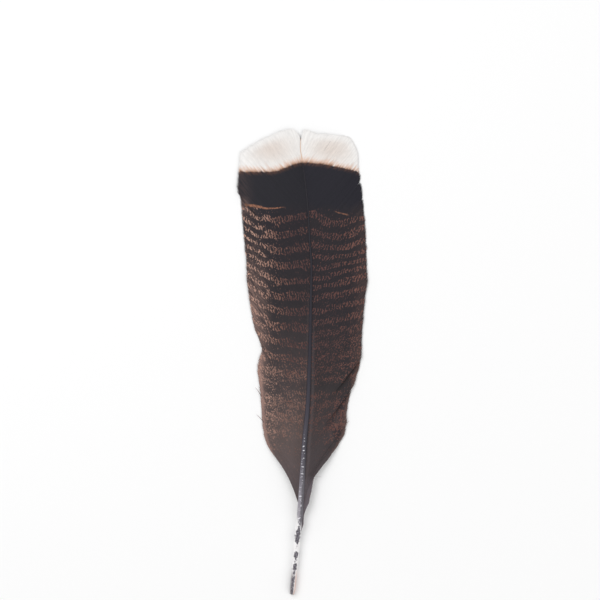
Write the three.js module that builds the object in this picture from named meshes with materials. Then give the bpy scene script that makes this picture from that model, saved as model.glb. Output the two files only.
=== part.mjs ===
// Turkey tail feather, shed and lying on a flat surface with its upper side up.
//
// Millimetres. +Y runs along the feather from the quill's cut end to the vane's tip, +X is to the
// right seen from above, and +Z is up. The surface is Z = 0, under the middle of the feather.
//
// The feather has one shaft, which is the bare calamus below the vanes and the rachis between
// them, and a vane on each side. Each vane is a thin plate as wide as its barbs reach.

import * as THREE from 'three';

// ---- Shaft ------------------------------------------------------------------------------------

const QUILL_END_Y = -157.4;
const VANE_BASE_Y = -100;
const SHAFT_TIP_Y = 152;
const QUILL_END_WIDTH = 3.1;
const QUILL_WIDTH = 4.1;
const SHAFT_TIP_WIDTH = 0.5;
const QUILL_END_ROUNDING = 5; // length over which the cut end narrows
const SHAFT_DEPTH_RATIO = 1.06; // depth over width
const SHAFT_ARCH = 5.2; // how far the middle of the shaft stands off the surface
const SHAFT_TIP_LIFT = 0.5;
const SHAFT_SIDES = 12;
const SHAFT_STEPS = 56;

// Centre line of the shaft seen from above, from the quill's end to its tip.
const SHAFT_LINE = [
  [-7.1, -157.4], [-6.1, -146.6], [-4.7, -130.4], [-3.4, -116.2], [-1.9, -104], [-0.3, -79],
  [1.4, -52], [3.7, -25], [4.9, 7.5], [5.7, 42], [6, 66], [4.8, 84], [3.9, 102], [1.8, 123],
  [0.1, 135.3], [-1.3, 144.1], [-1, 152],
];

// ---- Vanes ------------------------------------------------------------------------------------

const VANE_GAP = 0.3; // clearance between a vane's root and the shaft's side
const VANE_ROOT_THICKNESS = 0.9;
const VANE_EDGE_THICKNESS = 0.5;
const VANE_ROOT_LEVEL = 0.62; // height of the vane's root on the shaft, as a share of its depth
const FULL_FALL_LENGTH = 42; // barbs this long reach down to the surface
const BARB_STEPS = 8;
const BARB_STATIONS = 72;
const STATION_CROWDING = 0.5; // 0 spaces the stations evenly, 1 crowds them at both ends

// Edge of each vane seen from above, from its lowest barb's tip to the notch at the shaft's tip.
// Each point is [x, y, root y]: the barb that ends there grows from the shaft at that root.
const LEFT_EDGE = [
  [-21.6, -59.4, -94], [-25.7, -50, -88], [-27.4, -33, -71], [-28.4, -19, -56],
  [-30.1, -4.7, -42], [-29.4, 1.5, -35], [-27.5, 9.5, -26], [-28.9, 16, -21],
  [-32.1, 23.7, -17], [-34.8, 36, -8], [-37.5, 56, 8], [-37.8, 68, 19], [-40.2, 92.7, 41],
  [-42, 109, 56], [-43.6, 119.7, 66], [-43.2, 126, 73], [-42.6, 134, 82], [-41.8, 141.2, 90],
  [-39, 144, 94.5], [-32.9, 147.8, 103], [-23.2, 152.8, 116], [-13.5, 156.5, 129],
  [-6.5, 157.4, 138.5], [-3.6, 155.8, 143.5], [-1.9, 153.4, 148.5],
];
const RIGHT_EDGE = [
  [0.9, -108, -114], [1.7, -101, -109.5], [3, -93.9, -105], [4.7, -87.1, -100.5],
  [7.8, -76.3, -96], [15.9, -65.5, -92], [24.7, -53.3, -87], [28.2, -45.5, -82.5],
  [29.7, -30.4, -69], [31.4, -20.9, -59], [35.5, -8.7, -49], [39.2, 3.4, -39],
  [40.1, 22, -20], [41.6, 44, 3], [43.5, 53.5, 12], [43.5, 62, 21], [42.9, 79.2, 38.5],
  [41.9, 96.7, 57], [40.2, 112.3, 74], [38.9, 123.8, 86.5], [37.4, 134, 97],
  [37.1, 140.4, 103.5], [35.6, 146.6, 110], [32.8, 151, 115.5], [28.6, 153.4, 120.5],
  [18.6, 154.2, 129], [8.8, 155.1, 137.5], [2.2, 157.4, 144.5], [0.2, 156, 147.5],
  [-0.5, 153.6, 149.5],
];

// The lowest barbs bow towards the shaft, a barb of BOWED_LENGTH by baseBow. The left vane's
// lowest barb is its lower edge.
const VANES = {
  vane_left: { side: -1, edge: LEFT_EDGE, baseBow: 2.4 },
  vane_right: { side: 1, edge: RIGHT_EDGE, baseBow: 3.8 },
};
const BOWED_LENGTH = 40;
const BOW_FADE_START_Y = -94;
const BOW_FADE_END_Y = -72;

// ---- Colours ----------------------------------------------------------------------------------

const shaftMaterial = () =>
  new THREE.MeshStandardMaterial({ color: 0x4a474f, roughness: 0.4, metalness: 0 });
const vaneMaterial = () =>
  new THREE.MeshStandardMaterial({ color: 0x4b3a35, roughness: 0.85, metalness: 0 });

// ---- Shape of the shaft -----------------------------------------------------------------------

const { clamp, lerp, mapLinear, smoothstep } = THREE.MathUtils;

const shaftCurve = new THREE.SplineCurve(SHAFT_LINE.map(([x, y]) => new THREE.Vector2(x, y)));
const shaftSamples = shaftCurve.getPoints(SHAFT_LINE.length * 24);

// Point and direction of the shaft's centre line at a given Y.
function shaftAt(y) {
  const last = shaftSamples.length - 2;
  const found = shaftSamples.findIndex((p, i) => i > 0 && p.y >= y) - 1;
  const i = found < 0 ? last : Math.min(found, last);
  const [a, b] = [shaftSamples[i], shaftSamples[i + 1]];
  const along = (y - a.y) / (b.y - a.y);
  const direction = b.clone().sub(a).normalize();
  return { centre: new THREE.Vector2(lerp(a.x, b.x, along), y), direction };
}

// Width of the shaft: nearly even along the calamus, then a straight taper to the tip.
function shaftWidth(y) {
  if (y > VANE_BASE_Y) {
    return mapLinear(y, VANE_BASE_Y, SHAFT_TIP_Y, QUILL_WIDTH, SHAFT_TIP_WIDTH);
  }
  const rounding = smoothstep(y, QUILL_END_Y, QUILL_END_Y + QUILL_END_ROUNDING);
  return lerp(QUILL_END_WIDTH, QUILL_WIDTH, rounding);
}

// Height of the shaft's underside above the surface.
function shaftLift(y) {
  const along = (y - QUILL_END_Y) / (SHAFT_TIP_Y - QUILL_END_Y);
  return SHAFT_ARCH * Math.sin(Math.PI * along) + SHAFT_TIP_LIFT * along * along;
}

function bend(geometry, place) {
  const position = geometry.attributes.position;
  const point = new THREE.Vector3();
  for (let i = 0; i < position.count; i++) {
    point.fromBufferAttribute(position, i);
    const { x, y, z } = place(point);
    position.setXYZ(i, x, y, z);
  }
  geometry.computeVertexNormals();
  return geometry;
}

function shaftGeometry() {
  const straight = new THREE.CylinderGeometry(0.5, 0.5, 1, SHAFT_SIDES, SHAFT_STEPS);
  return bend(straight, (p) => {
    const y = mapLinear(p.y, -0.5, 0.5, QUILL_END_Y, SHAFT_TIP_Y);
    const { centre, direction } = shaftAt(y);
    const width = shaftWidth(y);
    const depth = width * SHAFT_DEPTH_RATIO;
    return {
      x: centre.x + p.x * width * direction.y,
      y: centre.y - p.x * width * direction.x,
      z: shaftLift(y) + (0.5 + p.z) * depth,
    };
  });
}

// ---- Shape of a vane --------------------------------------------------------------------------

// The tip of the barb whose root is at a given Y.
function barbTip(y, edge, outline) {
  const last = edge.length - 1;
  const found = edge.findIndex(([, , rootY]) => rootY >= y);
  const i = clamp(found, 1, last);
  const [from, to] = [edge[i - 1][2], edge[i][2]];
  return outline.getPoint((i - 1 + (y - from) / (to - from)) / last);
}

function barbRoot(y, side) {
  const { centre, direction } = shaftAt(y);
  const off = shaftWidth(y) / 2 + VANE_GAP;
  return new THREE.Vector2(centre.x + side * off * direction.y, y - side * off * direction.x);
}

function vaneGeometry({ side, edge, baseBow }) {
  const outline = new THREE.SplineCurve(edge.map(([x, y]) => new THREE.Vector2(x, y)));
  const [firstY, lastY] = [edge[0][2], edge[edge.length - 1][2]];
  const plate = new THREE.BoxGeometry(1, 1, 1, BARB_STEPS, BARB_STATIONS, 1);
  return bend(plate, (p) => {
    const [t, s] = [p.x + 0.5, p.y + 0.5];
    const crowded = s - (STATION_CROWDING * Math.sin(2 * Math.PI * s)) / (2 * Math.PI);
    const y = lerp(firstY, lastY, crowded);
    const root = barbRoot(y, side);
    const barb = barbTip(y, edge, outline).sub(root);
    const across = new THREE.Vector2(-barb.y, barb.x).normalize().multiplyScalar(side);
    const bowFade = 1 - smoothstep(y, BOW_FADE_START_Y, BOW_FADE_END_Y);
    const bowed = baseBow * bowFade * (barb.length() / BOWED_LENGTH) ** 2;
    const bow = bowed * Math.sin(Math.PI * t);
    const thickness = lerp(VANE_ROOT_THICKNESS, VANE_EDGE_THICKNESS, t);
    const rootZ = shaftLift(y) + VANE_ROOT_LEVEL * shaftWidth(y) * SHAFT_DEPTH_RATIO;
    const fall = clamp(barb.length() / FULL_FALL_LENGTH, 0, 1) ** 2;
    const edgeZ = lerp(rootZ, VANE_EDGE_THICKNESS / 2, fall);
    const arch = 0.4 * t + 0.6 * t * t;
    return {
      x: root.x + barb.x * t + across.x * bow,
      y: root.y + barb.y * t + across.y * bow,
      z: lerp(rootZ, edgeZ, arch) + side * p.z * thickness,
    };
  });
}

// ---- The feather ------------------------------------------------------------------------------

function named(name, geometry, material) {
  const mesh = new THREE.Mesh(geometry, material);
  mesh.name = name;
  return mesh;
}

const feather = new THREE.Group();
feather.add(named('shaft', shaftGeometry(), shaftMaterial()));
for (const [name, vane] of Object.entries(VANES)) {
  feather.add(named(name, vaneGeometry(vane), vaneMaterial()));
}

export default feather;
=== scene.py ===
"""A turkey tail feather lying on a pale table with its upper side up.

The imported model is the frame. Its plain shaft and vane plates are made again in the same place:
the shaft as a grooved, hollow-ended quill, and each vane as some hundreds of separate barbs.
Sizes are in millimetres and meshes are written in metres. +Y runs to the feather's tip, +X is to
the right seen from above, and +Z is up from the table.
"""

import logging
import math
from dataclasses import dataclass
from enum import Enum
from functools import cached_property

import bpy
import numpy as np
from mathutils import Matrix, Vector


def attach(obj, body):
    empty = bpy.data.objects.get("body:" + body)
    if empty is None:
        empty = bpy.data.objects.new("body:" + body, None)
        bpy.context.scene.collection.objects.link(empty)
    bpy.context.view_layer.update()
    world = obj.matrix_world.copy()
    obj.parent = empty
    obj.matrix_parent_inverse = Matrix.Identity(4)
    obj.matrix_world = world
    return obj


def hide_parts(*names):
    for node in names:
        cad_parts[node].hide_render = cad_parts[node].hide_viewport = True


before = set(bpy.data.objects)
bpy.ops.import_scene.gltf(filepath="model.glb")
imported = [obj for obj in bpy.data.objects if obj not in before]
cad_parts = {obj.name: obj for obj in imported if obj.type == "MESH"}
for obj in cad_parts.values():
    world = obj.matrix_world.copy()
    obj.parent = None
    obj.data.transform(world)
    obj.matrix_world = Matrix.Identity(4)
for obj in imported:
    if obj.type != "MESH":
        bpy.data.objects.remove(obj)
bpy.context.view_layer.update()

LOG = logging.getLogger("feather")
MM = 0.001
BODY = "root"
BAKE_MAP = "OFBake"
MAP_HALF = 0.5  # upper faces have the left half of the map, lower faces the right one

Colour = tuple[float, float, float, float]


class Side(Enum):
    """The side of the shaft that a vane grows on, seen from above with the tip up."""

    LEFT = -1
    RIGHT = 1


# ---- Numbers ----------------------------------------------------------------------------------


def srgb(red: float, green: float, blue: float) -> Colour:
    """Turns a colour as seen, with channels from 0 to 255, into the linear one nodes take.

    Args:
        red: Red channel.
        green: Green channel.
        blue: Blue channel.

    Returns:
        The linear colour with full alpha.
    """
    channels = []
    for channel in (red, green, blue):
        share = channel / 255
        channels.append(share / 12.92 if share <= 0.04045 else ((share + 0.055) / 1.055) ** 2.4)
    return (*channels, 1.0)


def smooth(value: np.ndarray | float, low: float, high: float) -> np.ndarray:
    """Rises smoothly from 0 at low to 1 at high."""
    share = np.clip((np.asarray(value, float) - low) / (high - low), 0, 1)
    return share * share * (3 - 2 * share)


def blend(first: np.ndarray | float, second: np.ndarray | float, share: np.ndarray) -> np.ndarray:
    """Goes from first to second as share goes from 0 to 1."""
    return first + (second - first) * share


def soft_noise(count: int, reach: float, rng: np.random.Generator) -> np.ndarray:
    """Makes a row of random numbers in which neighbours are alike.

    Args:
        count: How many numbers.
        reach: How many neighbours a number is like.
        rng: Source of the random numbers.

    Returns:
        Numbers of mean 0 and deviation 1.
    """
    half = int(3 * reach) + 1
    kernel = np.exp(-0.5 * (np.arange(-half, half + 1) / reach) ** 2)
    row = np.convolve(rng.normal(size=count + 2 * half), kernel, "valid")
    return row / np.sqrt((kernel**2).sum())


def catmull_rom(points: np.ndarray, share: np.ndarray) -> np.ndarray:
    """Finds places on the even Catmull-Rom spline through some points.

    Args:
        points: The spline's points, one a row.
        share: Places from 0, the first point, to 1, the last.

    Returns:
        One point for each place.
    """
    last = len(points) - 1
    at = np.clip(share, 0, 1) * last
    i = np.minimum(at.astype(int), last - 1)
    w = (at - i)[:, None]
    before, here = points[np.maximum(i - 1, 0)], points[i]
    there, after = points[i + 1], points[np.minimum(i + 2, last)]
    leave, arrive = (there - before) / 2, (after - here) / 2
    cubic = (2 * here - 2 * there + leave + arrive) * w**3
    square = (3 * there - 3 * here - 2 * leave - arrive) * w**2
    return cubic + square + leave * w + here


def stacked(shape: tuple[int, ...], *parts: np.ndarray | float) -> np.ndarray:
    """Spreads each part over a shape and stacks them as the numbers of vectors."""
    return np.stack([np.broadcast_to(part, shape) for part in parts], -1)


# ---- Plan of the feather ----------------------------------------------------------------------


@dataclass(frozen=True)
class ShaftPlan:
    """Centre line and sizes of the shaft, from the quill's cut end to its tip."""

    line: tuple[tuple[float, float], ...] = (
        (-7.1, -157.4), (-6.1, -146.6), (-4.7, -130.4), (-3.4, -116.2), (-1.9, -104),
        (-0.3, -79), (1.4, -52), (3.7, -25), (4.9, 7.5), (5.7, 42), (6, 66), (4.8, 84),
        (3.9, 102), (1.8, 123), (0.1, 135.3), (-1.3, 144.1), (-1, 152),
    )
    quill_end_y: float = -157.4
    vane_base_y: float = -100.0
    tip_y: float = 152.0
    end_width: float = 3.1
    quill_width: float = 4.1
    tip_width: float = 0.5
    end_rounding: float = 5.0  # length over which the cut end narrows
    depth_ratio: float = 1.06  # depth over width
    arch: float = 5.2  # how far the middle stands off the table
    tip_lift: float = 0.5  # and how far the tip does
    samples: int = 400

    @cached_property
    def sampled(self) -> np.ndarray:
        """The centre line as many close points."""
        return catmull_rom(np.array(self.line, float), np.linspace(0, 1, self.samples))

    def centre_x(self, y: np.ndarray) -> np.ndarray:
        """The centre line's X at each Y."""
        return np.interp(y, self.sampled[:, 1], self.sampled[:, 0])

    def direction(self, y: np.ndarray) -> np.ndarray:
        """The centre line's unit direction, towards the tip.

        Args:
            y: Places along the feather.

        Returns:
            One direction for each place.
        """
        slope = np.gradient(self.sampled[:, 0], self.sampled[:, 1])
        x = np.interp(y, self.sampled[:, 1], slope)
        both = np.stack([x, np.ones_like(x)], -1)
        return both / np.linalg.norm(both, axis=-1, keepdims=True)

    def width(self, y: np.ndarray) -> np.ndarray:
        """The shaft's width: even along the quill, then a straight taper.

        Args:
            y: Places along the feather.

        Returns:
            The width at each place.
        """
        taper = (y - self.vane_base_y) / (self.tip_y - self.vane_base_y)
        rachis = blend(self.quill_width, self.tip_width, taper)
        rounding = smooth(y, self.quill_end_y, self.quill_end_y + self.end_rounding)
        quill = blend(self.end_width, self.quill_width, rounding)
        return np.where(y > self.vane_base_y, rachis, quill)

    def depth(self, y: np.ndarray) -> np.ndarray:
        """The shaft's depth at each Y."""
        return self.width(y) * self.depth_ratio

    def lift(self, y: np.ndarray) -> np.ndarray:
        """Height of the shaft's underside above the table at each Y."""
        along = (y - self.quill_end_y) / (self.tip_y - self.quill_end_y)
        return self.arch * np.sin(np.pi * along) + self.tip_lift * along**2


@dataclass(frozen=True)
class VanePlan:
    """Outline and curve of one vane. Each edge point is x, y and the root y of its barb."""

    side: Side
    edge: tuple[tuple[float, float, float], ...]
    base_bow: float  # how far the lowest barbs bow towards the shaft
    shaft: ShaftPlan = ShaftPlan()
    root_gap: float = -0.25  # less than nothing, so the roots start inside the shaft's side
    root_level: float = 0.62  # height of the roots on the shaft, as a share of its depth
    edge_height: float = 0.3
    full_fall_length: float = 42.0  # barbs this long reach down to the table
    bowed_length: float = 40.0  # barbs this long have the whole bow
    bow_fade: tuple[float, float] = (-94.0, -72.0)
    outward_bow: float = 1.3  # how far the other barbs bow, away from the shaft
    outward_fade: tuple[float, float] = (100.0, 140.0)

    def roots(self, y: np.ndarray) -> np.ndarray:
        """Where barbs leave the shaft's side.

        Args:
            y: Where the barbs grow along the shaft.

        Returns:
            One point for each, seen from above.
        """
        direction = self.shaft.direction(y)
        off = self.side.value * (self.shaft.width(y) / 2 + self.root_gap)
        x = self.shaft.centre_x(y) + off * direction[:, 1]
        return np.stack([x, y - off * direction[:, 0]], -1)

    def tips(self, y: np.ndarray) -> np.ndarray:
        """Where barbs end.

        Args:
            y: Where the barbs grow along the shaft.

        Returns:
            One point for each, seen from above.
        """
        edge = np.array(self.edge, float)
        share = np.interp(y, edge[:, 2], np.arange(len(edge)) / (len(edge) - 1))
        return catmull_rom(edge[:, :2], share)

    def root_height(self, y: np.ndarray) -> np.ndarray:
        """Height above the table at which barbs leave the shaft at each Y."""
        return self.shaft.lift(y) + self.root_level * self.shaft.depth(y)


LEFT_PLAN = VanePlan(
    side=Side.LEFT,
    base_bow=2.4,
    edge=(
        (-21.6, -59.4, -94), (-25.7, -50, -88), (-27.4, -33, -71), (-28.4, -19, -56),
        (-30.1, -4.7, -42), (-29.4, 1.5, -35), (-27.5, 9.5, -26), (-28.9, 16, -21),
        (-32.1, 23.7, -17), (-34.8, 36, -8), (-37.5, 56, 8), (-37.8, 68, 19), (-40.2, 92.7, 41),
        (-42, 109, 56), (-43.6, 119.7, 66), (-43.2, 126, 73), (-42.6, 134, 82),
        (-41.8, 141.2, 90), (-39, 144, 94.5), (-32.9, 147.8, 103), (-23.2, 152.8, 116),
        (-13.5, 156.5, 129), (-6.5, 157.4, 138.5), (-3.6, 155.8, 143.5), (-1.9, 153.4, 148.5),
    ),
)
RIGHT_PLAN = VanePlan(
    side=Side.RIGHT,
    base_bow=3.8,
    edge=(
        (0.9, -108, -114), (1.6, -99.5, -109.5), (4.2, -93.9, -105), (5.4, -87.1, -100.5),
        (7.8, -76.3, -96), (16.5, -65.5, -92), (25.4, -53.3, -87), (29.0, -45.5, -82.5),
        (30.2, -30.4, -69), (32.2, -20.9, -59), (36.5, -8.7, -49), (39.3, 3.4, -39),
        (40.1, 22, -20), (42.2, 44, 3), (43.5, 53.5, 12), (43.5, 62, 21), (42.9, 79.2, 38.5),
        (41.9, 96.7, 57), (40.2, 112.3, 74), (38.9, 123.8, 86.5), (37.4, 134, 97),
        (37.1, 140.4, 103.5), (35.6, 146.6, 110), (32.8, 151, 115.5), (28.6, 153.4, 120.5),
        (18.6, 154.2, 129), (8.8, 155.1, 137.5), (2.2, 157.4, 144.5), (0.2, 156, 147.5),
        (-0.5, 153.6, 149.5),
    ),
)


# ---- Nodes of a material ----------------------------------------------------------------------


class Value:
    """A socket of a material. Python's operators on it add Math nodes."""

    def __init__(self, sheet: "NodeSheet", socket: bpy.types.NodeSocket) -> None:
        """Wraps a socket of a sheet."""
        self.sheet = sheet
        self.socket = socket

    def maths(self, operation: str, *terms: "Value | float") -> "Value":
        """Adds a Math node.

        Args:
            operation: The node's operation.
            terms: The node's inputs, in order.

        Returns:
            The node's result.
        """
        return self.sheet.node("ShaderNodeMath", {"operation": operation}, dict(enumerate(terms)))

    def __add__(self, other: "Value | float") -> "Value":
        """Self plus other."""
        return self.maths("ADD", self, other)

    __radd__ = __add__

    def __sub__(self, other: "Value | float") -> "Value":
        """Self minus other."""
        return self.maths("SUBTRACT", self, other)

    def __rsub__(self, other: float) -> "Value":
        """Other minus self."""
        return self.maths("SUBTRACT", other, self)

    def __mul__(self, other: "Value | float") -> "Value":
        """Self times other."""
        return self.maths("MULTIPLY", self, other)

    __rmul__ = __mul__

    def __truediv__(self, other: "Value | float") -> "Value":
        """Self over other."""
        return self.maths("DIVIDE", self, other)

    def __pow__(self, other: float) -> "Value":
        """Self to a power."""
        return self.maths("POWER", self, other)

    def __abs__(self) -> "Value":
        """Self without its sign."""
        return self.maths("ABSOLUTE", self)

    def at_least(self, other: "Value | float") -> "Value":
        """The larger of self and other."""
        return self.maths("MAXIMUM", self, other)

    def at_most(self, other: "Value | float") -> "Value":
        """The smaller of self and other."""
        return self.maths("MINIMUM", self, other)

    def wave(self) -> "Value":
        """A wave from 0 to 1, with a crest at each whole number."""
        return 0.5 + 0.5 * self.maths("COSINE", self * math.tau)

    def rise(self, low: "Value | float", high: "Value | float") -> "Value":
        """Rises smoothly from 0 at low to 1 at high, or falls if high is the lower.

        Args:
            low: Value that gives 0.
            high: Value that gives 1.

        Returns:
            The share from 0 to 1.
        """
        sockets = {"Value": self, "From Min": low, "From Max": high}
        return self.sheet.node("ShaderNodeMapRange", {"interpolation_type": "SMOOTHSTEP"}, sockets)

    def to_whole(self) -> "Value":
        """Distance to the nearest whole number, from 0 to a half."""
        return self.maths("PINGPONG", self, 0.5)

    def bump_at(self, centre: "Value | float", reach: float) -> "Value":
        """A soft hump of height 1 at centre that ends at reach on both sides."""
        return abs(self - centre).rise(reach, 0.0)


class NodeSheet:
    """The node tree of one material."""

    def __init__(self, name: str) -> None:
        """Starts an empty material with a Principled shader.

        Args:
            name: The material's name.
        """
        self.material = bpy.data.materials.new(name)
        self.material.use_nodes = True
        self.tree = self.material.node_tree
        self.shader = self.tree.nodes["Principled BSDF"]

    def node(
        self,
        kind: str,
        settings: dict[str, object] | None = None,
        sockets: dict[str | int, object] | None = None,
        output: int | str = 0,
    ) -> Value:
        """Adds a node.

        Args:
            kind: The node's type.
            settings: Properties by name, set first.
            sockets: Values or links for its inputs, by name or number.
            output: Name or number of the output that is wanted.

        Returns:
            That output.
        """
        made = self.tree.nodes.new(kind)
        for name, setting in (settings or {}).items():
            if name == "stops":
                self._set_stops(made.color_ramp, setting)
            else:
                setattr(made, name, setting)
        for name, value in (sockets or {}).items():
            self.feed(made.inputs[name], value)
        return Value(self, made.outputs[output])

    @staticmethod
    def _set_stops(ramp: bpy.types.ColorRamp, stops: list[tuple[float, Colour]]) -> None:
        """Gives a colour ramp its stops.

        Args:
            ramp: The ramp, which has two stops at first.
            stops: Places from 0 to 1 in rising order, each with its colour.
        """
        while len(ramp.elements) < len(stops):
            ramp.elements.new(1.0)
        for element, (place, colour) in zip(ramp.elements, stops):
            element.position = place
            element.color = colour

    def feed(self, target: bpy.types.NodeSocket, value: object) -> None:
        """Links a Value to an input, or sets its number or colour.

        Args:
            target: The input.
            value: A Value, a number or a colour.
        """
        if isinstance(value, Value):
            self.tree.links.new(value.socket, target)
        else:
            target.default_value = value

    def parts(self, attribute: str) -> tuple[Value, Value, Value]:
        """The three numbers of a vector attribute of the mesh.

        Args:
            attribute: The attribute's name.

        Returns:
            Its numbers, in order.
        """
        vector = self.node("ShaderNodeAttribute", {"attribute_name": attribute}, output="Vector")
        split = self.node("ShaderNodeSeparateXYZ", sockets={0: vector}).socket.node
        return tuple(Value(self, socket) for socket in split.outputs)

    def noise(self, x: Value | float, y: Value | float, detail: float, seed: float) -> Value:
        """Soft noise around 0.5 over two coordinates, about one blob to a unit.

        Args:
            x: First coordinate.
            y: Second coordinate.
            detail: How many finer layers it has.
            seed: Third coordinate, which gives another pattern.

        Returns:
            The noise.
        """
        place = self.node("ShaderNodeCombineXYZ", sockets={0: x, 1: y, 2: seed})
        sockets = {"Vector": place, "Scale": 1.0, "Detail": detail, "Roughness": 0.55}
        return self.node("ShaderNodeTexNoise", sockets=sockets)

    def ramp(self, value: Value, stops: tuple[tuple[float, Colour], ...]) -> Value:
        """A colour that follows a value through some stops.

        Args:
            value: What the colour follows.
            stops: Values in rising order, each with its colour.

        Returns:
            The colour.
        """
        low, high = stops[0][0], stops[-1][0]
        even = [((place - low) / (high - low), colour) for place, colour in stops]
        sockets = {0: (value - low) / (high - low)}
        return self.node("ShaderNodeValToRGB", {"stops": even}, sockets)

    def mix(self, share: Value | float, first: Value | Colour, second: Value | Colour) -> Value:
        """Mixes two colours: first at share 0 and second at share 1."""
        sockets = {0: share, 6: first, 7: second}
        return self.node("ShaderNodeMix", {"data_type": "RGBA"}, sockets, output=2)

    def scaled(self, colour: Value | Colour, factor: Value) -> Value:
        """A colour times a number."""
        settings = {"operation": "SCALE"}
        return self.node("ShaderNodeVectorMath", settings, {0: colour, "Scale": factor})

    def dress(self, sockets: dict[str, object]) -> bpy.types.Material:
        """Feeds the Principled shader's inputs.

        Args:
            sockets: What each input gets, by the input's name.

        Returns:
            The material.
        """
        for name, value in sockets.items():
            self.feed(self.shader.inputs[name], value)
        return self.material

    def relief(self, height: Value, depth: float) -> Value:
        """A bump of some height noise, depth millimetres deep, for the Normal input."""
        return self.node("ShaderNodeBump", sockets={"Height": height, "Distance": depth * MM})


# ---- Finishes ---------------------------------------------------------------------------------


@dataclass(frozen=True)
class Marks:
    """The quantities that a vane's markings are drawn from, in millimetres.

    Attributes:
        sheet: The material's nodes.
        x: Place across the feather.
        y: Place along it.
        q: Distance from the shaft's centre line.
        root: Root y of the barb.
        along: Distance from the barb's root.
        chance: The barb's own random number, from 0 to 1.
        to_tip: Distance to the barb's tip.
        painted_split_shadow: Depth of the painted shadow beside a split.
        face: 1 on top of the barb and -1 below it.
    """

    sheet: NodeSheet
    x: Value
    y: Value
    q: Value
    root: Value
    along: Value
    chance: Value
    to_tip: Value
    painted_split_shadow: Value
    face: Value

    def blobs(self, width: float, height: float, seed: float) -> Value:
        """Soft noise in blobs of some millimetres by some."""
        return self.sheet.noise(self.x / width, self.y / height, 2, seed)

    def fibres(self, across: float, along: float, detail: float, seed: float) -> Value:
        """Soft noise that follows the barbs, with some streaks a millimetre each way."""
        return self.sheet.noise(self.root * across, self.along * along, detail, seed)


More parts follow.
